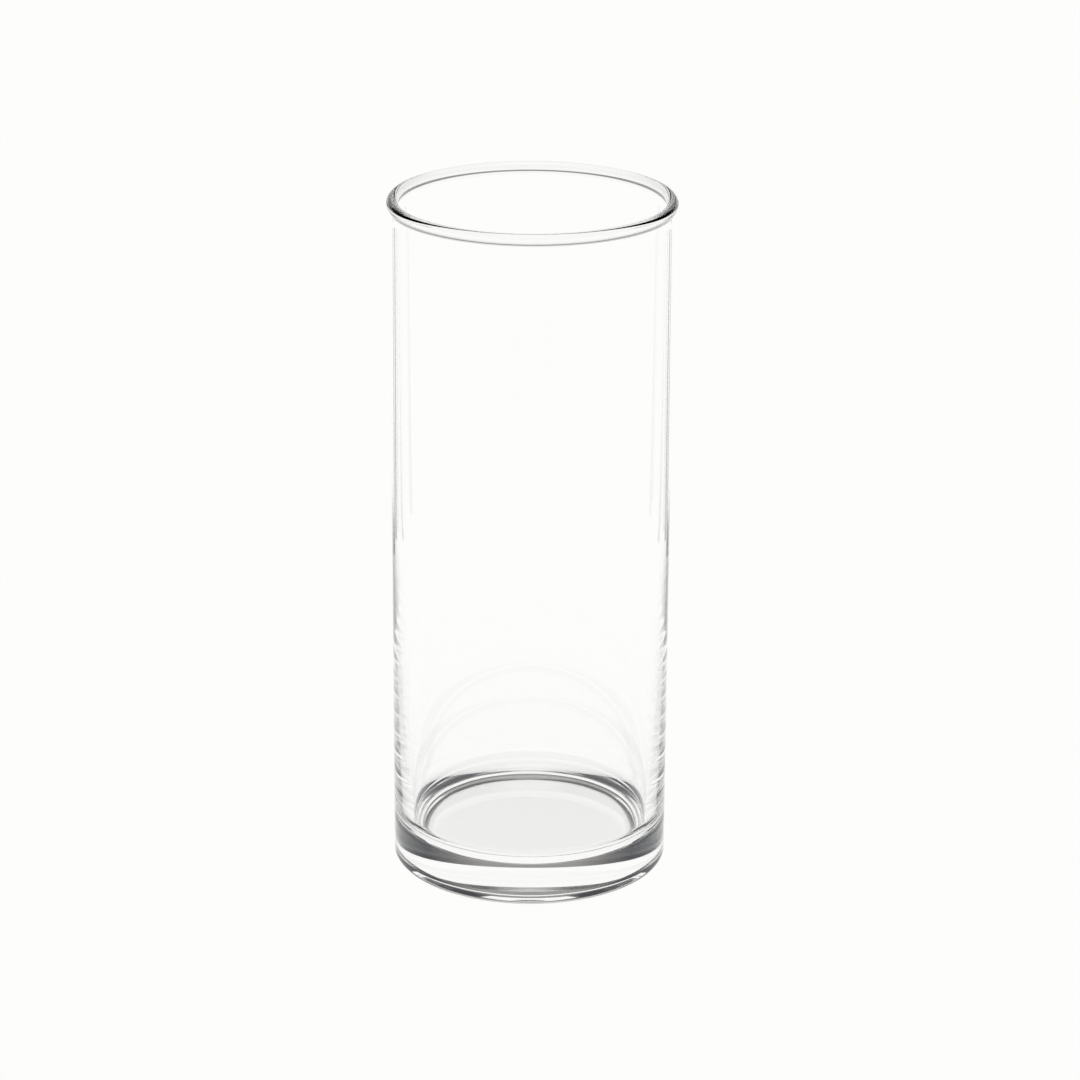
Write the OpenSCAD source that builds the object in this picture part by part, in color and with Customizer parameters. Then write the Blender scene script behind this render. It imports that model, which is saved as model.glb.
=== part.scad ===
// Glass cylinder vase: a single piece of clear soda-lime glass with a straight wall, a thick
// base and a fire-polished bead round the mouth.
// Millimetres, +Z up. The origin is the centre of the plane that the vase stands on.

/* [Body] */
// Outside diameter of the straight wall
body_d = 101.6; // [80:0.2:160]
// Height from the table to the top of the rim
body_h = 254; // [150:1:400]
// Thickness of the wall
wall = 3; // [2:0.1:5]

/* [Rim] */
// How far the bead stands out from the outside of the wall
bead_proud = 1.2; // [0.4:0.1:2.5]

/* [Base] */
// Thickness of the glass between the inside floor and the table
floor_t = 12.6; // [6:0.2:25]
// Radius of the fillet between the inside wall and the floor
corner_r = 8.5; // [2:0.5:14]
// How much thicker the wall grows down to the fillet
foot_thickening = 3; // [0.5:0.1:6]
// Height over which it grows
thickening_h = 120; // [20:5:160]
// Radius of the rounded heel, the outside edge of the base
heel_r = 2; // [1:0.2:6]
// Width of the flat ring that the vase stands on
ring_w = 1.2; // [0.6:0.1:10]
// Depth of the recess under the base
recess_h = 1.2; // [0.5:0.1:6]
// Width of the recess's sloped side
recess_slope = 6.5; // [1:0.5:15]

/* [Hidden] */
GLASS = [0.9, 0.94, 0.94, 0.4];
ROUND_FN = 180;   // facets of the preview of the vase's round form
ARC_FN = 96;      // facets of the small arcs in its section
FLARE_STEPS = 10; // cones that make up the curve of the thickening wall
OVERRUN = 10;     // how far a cut runs on past the glass

outer_r = body_d / 2;
inner_r = outer_r - wall;
bead_r = (wall + bead_proud) / 2;
bead_z = body_h - bead_r;
foot_inner_r = inner_r - foot_thickening;
flare_z = floor_t + corner_r;
bore_z = flare_z + thickening_h;
recess_r = outer_r - heel_r - ring_w;

// Section of an upright round body, from the axis out to radius r and from z = 0 up to
// height h, with its lower outside edge rounded to edge_r
module rounded_foot_section(r, h, edge_r) {
    square([r - edge_r, h]);
    translate([0, edge_r]) square([r, h - edge_r]);
    translate([r - edge_r, edge_r]) circle(edge_r, $fn = ARC_FN);
}

// The bead: one round section, flush with the inside of the wall and proud of the outside
module bead_section() {
    translate([inner_r + bead_r, bead_z]) circle(bead_r, $fn = ARC_FN);
}

// Radius of the inside where the wall thickens, at a share of the way up from the fillet to the
// straight bore, which it meets without a bend
function flare_inner_r(share) = inner_r - foot_thickening * (1 - share) ^ 2;

// The stretch in which the wall grows thicker downwards
module flare_section() {
    polygon([
        [0, bore_z],
        [0, flare_z],
        for (i = [0:FLARE_STEPS])
            [flare_inner_r(i / FLARE_STEPS), flare_z + thickening_h * i / FLARE_STEPS],
    ]);
}

// The space inside: straight bore, thickening wall, fillet and flat floor, running on up past
// the mouth
module inside_section() {
    translate([0, floor_t]) rounded_foot_section(foot_inner_r, 2 * corner_r, corner_r);
    flare_section();
    translate([0, bore_z]) square([inner_r, body_h - bore_z + OVERRUN]);
}

// The recess under the base: flat, with a sloped side that runs down to the ring
module recess_section() {
    polygon([
        [0, -OVERRUN],
        [recess_r, -OVERRUN],
        [recess_r, 0],
        [recess_r - recess_slope, recess_h],
        [0, recess_h],
    ]);
}

module glass_section() {
    difference() {
        union() {
            rounded_foot_section(outer_r, bead_z, heel_r);
            bead_section();
        }
        inside_section();
        recess_section();
    }
}

module glass_vase() {
    color(GLASS)
        rotate_extrude($fn = ROUND_FN)
            glass_section();
}

glass_vase();
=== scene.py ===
"""Glass cylinder vase: the clear glass body, and the pale floor and studio that it stands in.

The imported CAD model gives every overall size. The glass is drawn as one half section and spun round
the vase's axis, so the wall, the heel, the bead and the inside floor are one skin, as in the real
piece of glass. Lengths are metres, angles are degrees and colours are linear.
"""

import logging
import math
from dataclasses import dataclass, field

import bpy
from mathutils import Matrix, Vector


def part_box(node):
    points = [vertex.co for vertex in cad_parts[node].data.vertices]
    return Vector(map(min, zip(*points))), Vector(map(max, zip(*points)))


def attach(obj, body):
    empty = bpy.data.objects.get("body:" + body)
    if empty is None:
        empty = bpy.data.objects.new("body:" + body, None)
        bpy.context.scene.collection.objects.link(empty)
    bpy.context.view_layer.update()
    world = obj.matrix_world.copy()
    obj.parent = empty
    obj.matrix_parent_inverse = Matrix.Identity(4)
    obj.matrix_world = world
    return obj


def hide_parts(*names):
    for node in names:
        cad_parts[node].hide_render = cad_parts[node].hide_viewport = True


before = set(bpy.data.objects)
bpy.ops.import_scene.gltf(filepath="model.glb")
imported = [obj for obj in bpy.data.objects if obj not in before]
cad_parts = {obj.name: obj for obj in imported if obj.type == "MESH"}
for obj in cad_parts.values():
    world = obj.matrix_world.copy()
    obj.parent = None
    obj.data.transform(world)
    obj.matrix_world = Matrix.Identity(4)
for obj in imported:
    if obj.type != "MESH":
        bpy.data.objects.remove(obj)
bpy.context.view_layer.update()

log = logging.getLogger("glass_cylinder_vase")

VASE_NODE = "glass_vase"
Colour = tuple[float, float, float]
Stops = tuple[tuple[float, Colour], ...]
PAPER: Colour = (0.982, 0.982, 0.965)
FULL_TURN = 360.0
MM_PER_M = 1000


class ShaderSheet:
    """A cleared node tree, with the few moves that the finishes here need."""

    def __init__(self, tree: bpy.types.NodeTree, output: str) -> None:
        """Clears the tree and adds its output node.

        Args:
            tree: The node tree of a material or a world.
            output: The type of its output node.
        """
        self.tree = tree
        self.tree.nodes.clear()
        self.output = self.add(output)

    def add(self, kind: str, **values: object) -> bpy.types.Node:
        """Adds one node.

        Args:
            kind: The node's type.
            values: Properties set on the node itself.

        Returns:
            The new node.
        """
        node = self.tree.nodes.new(kind)
        for name, value in values.items():
            setattr(node, name, value)
        return node

    def join(self, start: bpy.types.NodeSocket, end: bpy.types.NodeSocket) -> None:
        """Links an output socket to an input socket."""
        self.tree.links.new(start, end)

    def math(self, operation: str, *values: bpy.types.NodeSocket) -> bpy.types.NodeSocket:
        """Adds a sum, or another operation on numbers.

        Args:
            operation: The operation's name.
            values: What it works on.

        Returns:
            Its result.
        """
        node = self.add("ShaderNodeMath", operation=operation)
        for value, socket in zip(values, node.inputs):
            self.join(value, socket)
        return node.outputs["Value"]

    def spread(self, value: bpy.types.NodeSocket, start: float, end: float) -> bpy.types.NodeSocket:
        """Maps a range of values to the range from 0 to 1.

        Args:
            value: The value.
            start: The value that becomes 0.
            end: The value that becomes 1.

        Returns:
            The mapped value.
        """
        node = self.add("ShaderNodeMapRange")
        node.inputs["From Min"].default_value = start
        node.inputs["From Max"].default_value = end
        self.join(value, node.inputs["Value"])
        return node.outputs["Result"]

    def ramp(self, angle: bpy.types.NodeSocket, stops: Stops) -> bpy.types.NodeSocket:
        """Adds colours that change with the direction round the vase.

        Args:
            angle: The angle in radians, from minus to plus half a turn.
            stops: Angles in degrees, in rising order, and their colours.

        Returns:
            The colour.
        """
        node = self.add("ShaderNodeValToRGB")
        self.join(self.spread(angle, -math.pi, math.pi), node.inputs["Fac"])
        elements = node.color_ramp.elements
        while len(elements) < len(stops):
            elements.new(1.0)
        for element, (degrees, colour) in zip(elements, stops):
            element.position = degrees / FULL_TURN + 0.5
            element.color = (*colour, 1.0)
        return node.outputs["Color"]

    def glow(self, colour: Colour | bpy.types.NodeSocket) -> bpy.types.NodeSocket:
        """Adds an even light.

        Args:
            colour: Its colour, or the socket that gives it.

        Returns:
            The shader.
        """
        node = self.add("ShaderNodeEmission")
        if isinstance(colour, tuple):
            node.inputs["Color"].default_value = (*colour, 1.0)
        else:
            self.join(colour, node.inputs["Color"])
        return node.outputs["Emission"]

    def blend(
        self, share: bpy.types.NodeSocket, first: bpy.types.NodeSocket, second: bpy.types.NodeSocket
    ) -> bpy.types.NodeSocket:
        """Blends two shaders.

        Args:
            share: How much of the second one shows.
            first: The shader at 0.
            second: The shader at 1.

        Returns:
            The blended shader.
        """
        node = self.add("ShaderNodeMixShader")
        self.join(share, node.inputs["Fac"])
        self.join(first, node.inputs[1])
        self.join(second, node.inputs[2])
        return node.outputs["Shader"]


def deselect_all() -> None:
    """Goes to object mode with nothing selected."""
    if bpy.context.object and bpy.context.object.mode != "OBJECT":
        bpy.ops.object.mode_set(mode="OBJECT")
    bpy.ops.object.select_all(action="DESELECT")


def take_up(thing: bpy.types.Object) -> None:
    """Makes an object the only selected one, and the active one."""
    deselect_all()
    thing.select_set(True)
    bpy.context.view_layer.objects.active = thing


@dataclass(frozen=True)
class ClearGlass:
    """Clear soda-lime glass with a fire-polished face, faintly green where it is deep."""

    ior: float = 1.52
    tint: Colour = (0.9, 0.96, 0.94)
    absorption: float = 0.6

    def material(self) -> bpy.types.Material:
        """Makes the glass material.

        Returns:
            The material.
        """
        made = bpy.data.materials.new("fire_polished_clear_glass")
        made.use_nodes = True
        sheet = ShaderSheet(made.node_tree, "ShaderNodeOutputMaterial")
        body = sheet.add("ShaderNodeBsdfPrincipled")
        body.inputs["Base Color"].default_value = (1.0, 1.0, 1.0, 1.0)
        body.inputs["Roughness"].default_value = 0.0
        body.inputs["IOR"].default_value = self.ior
        body.inputs["Transmission Weight"].default_value = 1.0
        sheet.join(body.outputs["BSDF"], sheet.output.inputs["Surface"])
        depth = sheet.add("ShaderNodeVolumeAbsorption")
        depth.inputs["Color"].default_value = (*self.tint, 1.0)
        depth.inputs["Density"].default_value = self.absorption
        sheet.join(depth.outputs["Volume"], sheet.output.inputs["Volume"])
        return made


@dataclass
class HalfSection:
    """The line round one half of a spun piece, drawn corner by corner from the axis and back to it.

    Each corner is its distance from the axis, its height and how far along both its sides its
    rounding begins, which is 0 where it stays sharp.
    """

    name: str
    segments: int = 16
    longest: float = 0.0025
    nearness: float = 0.00001
    corners: list[tuple[float, float, float]] = field(default_factory=list)

    def corner(self, radius: float, height: float, rounding: float = 0.0) -> None:
        """Adds the next corner.

        Args:
            radius: Its distance from the axis.
            height: Its height above the table.
            rounding: How far along both its sides its rounding begins.
        """
        self.corners.append((radius, height, rounding))

    def draw(self) -> bpy.types.Object:
        """Merges a small square to one point and extrudes it from corner to corner.

        Returns:
            A chain of edges.
        """
        deselect_all()
        bpy.ops.mesh.primitive_plane_add(size=self.longest)
        chain = bpy.context.object
        chain.name = chain.data.name = self.name
        bpy.ops.object.mode_set(mode="EDIT")
        bpy.ops.mesh.merge(type="CENTER")
        first = self.corners[0]
        bpy.ops.transform.translate(value=(first[0], 0.0, first[1]))
        for near, far in zip(self.corners, self.corners[1:]):
            step = (far[0] - near[0], 0.0, far[1] - near[1])
            bpy.ops.mesh.extrude_region_move(TRANSFORM_OT_translate={"value": step})
        bpy.ops.object.mode_set(mode="OBJECT")
        return chain

    def pick(self, chain: bpy.types.Object, places: list[Vector]) -> None:
        """Goes to edit mode with only the chain's points at these places selected.

        Args:
            chain: The chain.
            places: The places of the points.
        """
        take_up(chain)
        bpy.ops.object.mode_set(mode="EDIT")
        bpy.ops.mesh.select_mode(type="VERT")
        bpy.ops.mesh.select_all(action="DESELECT")
        bpy.ops.object.mode_set(mode="OBJECT")
        for vertex in chain.data.vertices:
            vertex.select = any((vertex.co - place).length < self.nearness for place in places)
        bpy.ops.object.mode_set(mode="EDIT")

    def round_corners(self, chain: bpy.types.Object) -> None:
        """Rounds each corner that asks for it with a bevel of its point.

        Args:
            chain: The chain.
        """
        for radius, height, rounding in self.corners:
            if rounding > 0.0:
                self.pick(chain, [Vector((radius, 0.0, height))])
                bpy.ops.mesh.bevel(
                    affect="VERTICES", offset=rounding, segments=self.segments, clamp_overlap=False
                )
                bpy.ops.object.mode_set(mode="OBJECT")

    def divide_long_edges(self, chain: bpy.types.Object) -> None:
        """Divides each edge that is too long, so that the spun wall has no tall faces.

        Args:
            chain: The chain, with its corners rounded.
        """
        points = chain.data.vertices
        spans = [[points[index].co.copy() for index in edge.vertices] for edge in chain.data.edges]
        for near, far in spans:
            cuts = math.ceil((far - near).length / self.longest) - 1
            if cuts > 0:
                self.pick(chain, [near, far])
                bpy.ops.mesh.subdivide(number_cuts=cuts)
                bpy.ops.object.mode_set(mode="OBJECT")

    def spin(self, chain: bpy.types.Object, steps: int) -> None:
        """Spins the chain once round the axis into a closed skin that faces outwards.

        Args:
            chain: The finished chain.
            steps: Faces round the axis.
        """
        take_up(chain)
        bpy.ops.object.mode_set(mode="EDIT")
        bpy.ops.mesh.select_all(action="SELECT")
        bpy.ops.mesh.spin(steps=steps, angle=math.tau, center=(0.0, 0.0, 0.0), axis=(0.0, 0.0, 1.0))
        bpy.ops.mesh.select_all(action="SELECT")
        bpy.ops.mesh.remove_doubles(threshold=self.nearness)
        bpy.ops.mesh.select_all(action="SELECT")
        bpy.ops.mesh.normals_make_consistent(inside=False)
        bpy.ops.object.mode_set(mode="OBJECT")
        bpy.ops.object.shade_smooth()


@dataclass
class GlassVase:
    """The vase: straight wall, thick base and fire-polished bead, spun as one piece of glass."""

    wall: float = 0.003
    bead_proud: float = 0.0012
    neck_rounding: float = 0.0008
    floor_height: float = 0.0126
    floor_fillet: float = 0.0085
    foot_thickening: float = 0.003
    thickening_height: float = 0.12
    heel_rounding: float = 0.002
    bearing_width: float = 0.0012
    recess_height: float = 0.0012
    recess_slope: float = 0.0065
    steps: int = 240
    finish: ClearGlass = field(default_factory=ClearGlass)

    def __post_init__(self) -> None:
        """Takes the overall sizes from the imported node."""
        low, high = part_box(VASE_NODE)
        self.height = high.z - low.z
        self.outer = (high.x - low.x) / 2 - self.bead_proud
        self.inner = self.outer - self.wall

    def section(self) -> HalfSection:
        """Lays out the half section, from the middle of the underside round to the inside floor.

        Returns:
            The half section.
        """
        line = HalfSection("vase_glass")
        recess = self.outer - self.heel_rounding - self.bearing_width
        line.corner(0.0, self.recess_height)
        line.corner(recess - self.recess_slope, self.recess_height, self.recess_slope / 3)
        line.corner(recess, 0.0, self.bearing_width / 2)
        line.corner(self.outer, 0.0, self.heel_rounding)
        self.add_bead(line)
        slope = 2 * self.foot_thickening / self.thickening_height
        bend = self.floor_height + self.floor_fillet + self.thickening_height / 2
        line.corner(self.inner, bend, self.thickening_height / 2)
        floor_edge = self.inner - slope * (bend - self.floor_height)
        line.corner(floor_edge, self.floor_height, self.floor_fillet)
        line.corner(0.0, self.floor_height)
        return line

    def add_bead(self, line: HalfSection) -> None:
        """Adds the rim: a round bead, flush inside, that stands proud of the wall outside.

        Args:
            line: The half section, which has come up the outside of the wall.
        """
        thick = self.wall + self.bead_proud
        shoulder = self.height - thick
        line.corner(self.outer, shoulder, self.neck_rounding)
        line.corner(self.outer + self.bead_proud, shoulder + self.bead_proud, self.neck_rounding)
        line.corner(self.outer + self.bead_proud, self.height, thick / 2)
        line.corner(self.inner, self.height, thick / 2)

    def build(self) -> bpy.types.Object:
        """Makes the vase and gives it its glass and its place in the frame.

        Returns:
            The vase.
        """
        line = self.section()
        body = line.draw()
        line.round_corners(body)
        line.divide_long_edges(body)
        line.spin(body, self.steps)
        body.data.materials.append(self.finish.material())
        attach(body, "root")
        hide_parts(VASE_NODE)
        log.info("%s: %d faces, %.1f mm tall", body.name, len(body.data.polygons), self.height * MM_PER_M)
        return body


def stage_sheet(thing: bpy.types.Object) -> ShaderSheet:
    """Gives a stage object a material of its own.

    Args:
        thing: The stage object.

    Returns:
        The material's node tree.
    """
    made = bpy.data.materials.new(thing.name)
    made.use_nodes = True
    thing.data.materials.append(made)
    return ShaderSheet(made.node_tree, "ShaderNodeOutputMaterial")


@dataclass
class PaleFloor:
    """The plain pale floor, evenly bright out to the horizon."""

    size: float = 24.0
    clearance: float = 0.00005
    paper: Colour = PAPER

    def build(self) -> None:
        """Lays the floor just under the foot."""
        deselect_all()
        bpy.ops.mesh.primitive_plane_add(size=self.size, location=(0.0, 0.0, -self.clearance))
        floor = bpy.context.object
        floor.name = "pale_floor"
        sheet = stage_sheet(floor)
        sheet.join(sheet.glow(self.paper), sheet.output.inputs["Surface"])
        log.info("pale floor laid")


@dataclass
class GlassOnlyShadeCards:
    """Two sheets of painted shade behind the vase, left and right, that give clear glass its dark edges.

    The camera does not see them and sees the pale floor where they lie, so their shade shows only in the
    glass. The azimuth runs from +Y, behind the vase, towards +X.
    """

    azimuth: float = 30.0
    near: float = 0.34
    far: float = 0.9
    width: float = 0.04
    below_foot: float = 0.00002
    # The colour of the painted shade that the glass shows in its edges.
    edge_shade: Colour = (0.2, 0.2, 0.21)

    def lay(self, name: str, azimuth: float) -> None:
        """Lays one card along a line that runs out from the vase.

        Args:
            name: Its name.
            azimuth: The direction of the line.
        """
        turn = math.radians(azimuth)
        middle = (self.near + self.far) / 2
        place = (middle * math.sin(turn), middle * math.cos(turn), -self.below_foot)
        deselect_all()
        bpy.ops.mesh.primitive_plane_add(size=1.0, location=place, rotation=(0.0, 0.0, -turn))
        card = bpy.context.object
        card.name = name
        card.scale = (self.width, self.far - self.near, 1.0)
        # Hidden from the camera: the card is painted shade that only the glass shows.
        card.visible_camera = False
        sheet = stage_sheet(card)
        sheet.join(sheet.glow(self.edge_shade), sheet.output.inputs["Surface"])

    def build(self) -> None:
        """Lays both cards."""
        self.lay("shade_card_left", -self.azimuth)
        self.lay("shade_card_right", self.azimuth)
        log.info("dark cards laid")


@dataclass
class StudioRoom:
    """The light round the vase: a pale horizon, a dark room with one grey backdrop, a lit ceiling.

    Azimuths run from +Y, behind the vase, towards +X.
    """

    paper: Colour = PAPER
    ceiling: Colour = (0.9, 0.9, 0.9)
    horizon_top: float = 4.5
    horizon_fade: float = 1.5
    ceiling_edge: float = 72.0
    ceiling_fade: float = 6.0
    walls: Stops = (
        (-40.0, (0.02, 0.022, 0.03)),
        (-28.0, (0.12, 0.118, 0.116)),
        (-14.0, (0.3, 0.29, 0.283)),
        (14.0, (0.3, 0.29, 0.283)),
        (28.0, (0.12, 0.118, 0.116)),
        (40.0, (0.02, 0.022, 0.03)),
    )

    def build(self) -> None:
        """Sets the world: paper for the eye, and the lit room for everything else."""
        world = bpy.data.worlds.new("studio_room")
        bpy.context.scene.world = world
        world.use_nodes = True
        sheet = ShaderSheet(world.node_tree, "ShaderNodeOutputWorld")
        ray = sheet.add("ShaderNodeLightPath")
        axes = sheet.add("ShaderNodeSeparateXYZ")
        sheet.join(sheet.add("ShaderNodeTexCoord").outputs["Generated"], axes.inputs["Vector"])
        azimuth = sheet.math("ARCTAN2", axes.outputs["X"], axes.outputs["Y"])
        elevation = sheet.math("ARCSINE", axes.outputs["Z"])
        light = sheet.glow(self.paper)
        layers = (
            (self.horizon_top, self.horizon_fade, sheet.glow(sheet.ramp(azimuth, self.walls))),
            (self.ceiling_edge, self.ceiling_fade, sheet.glow(self.ceiling)),
        )
        for start, fade, layer in layers:
            share = sheet.spread(elevation, math.radians(start), math.radians(start + fade))
            light = sheet.blend(share, light, layer)
        light = sheet.blend(ray.outputs["Is Camera Ray"], light, sheet.glow(self.paper))
        sheet.join(light, sheet.output.inputs["Surface"])
        log.info("studio room lit")


@dataclass
class Viewpoint:
    """The camera: in front of the vase, a little to one side, looking down at it."""

    distance: float = 1.3026
    height: float = 0.6028
    down: float = 20.185
    turn: float = -0.149
    roll: float = 0.327
    lens: float = 126.04
    sensor: float = 36.0
    farthest: float = 100.0

    def build(self) -> None:
        """Adds the camera and makes it the scene's own."""
        turned = (
            Matrix.Rotation(math.radians(self.turn), 3, "Z")
            @ Matrix.Rotation(math.radians(90.0 - self.down), 3, "X")
            @ Matrix.Rotation(math.radians(self.roll), 3, "Z")
        )
        deselect_all()
        bpy.ops.object.camera_add(
            location=(0.0, -self.distance, self.height), rotation=turned.to_euler()
        )
        camera = bpy.context.object
        camera.name = "viewpoint"
        camera.data.lens = self.lens
        camera.data.sensor_width = self.sensor
        camera.data.clip_end = self.farthest
        bpy.context.scene.camera = camera


def set_light_paths(bounces: int) -> None:
    """Lets light pass through all the faces of the glass, and shows colours as they are.

    Args:
        bounces: How many faces one ray may meet.
    """
    scene = bpy.context.scene
    scene.view_settings.view_transform = "Standard"
    scene.cycles.max_bounces = bounces
    scene.cycles.transmission_bounces = bounces
    scene.cycles.glossy_bounces = bounces
    scene.cycles.sample_clamp_indirect = 0.0
    scene.cycles.blur_glossy = 0.0


def main() -> None:
    """Builds the camera, the vase and its stage, in that order."""
    logging.basicConfig(level=logging.INFO, format="%(name)s: %(message)s")
    Viewpoint().build()
    GlassVase().build()
    PaleFloor().build()
    GlassOnlyShadeCards().build()
    StudioRoom().build()
    set_light_paths(bounces=64)


if __name__ == "__main__":
    main()
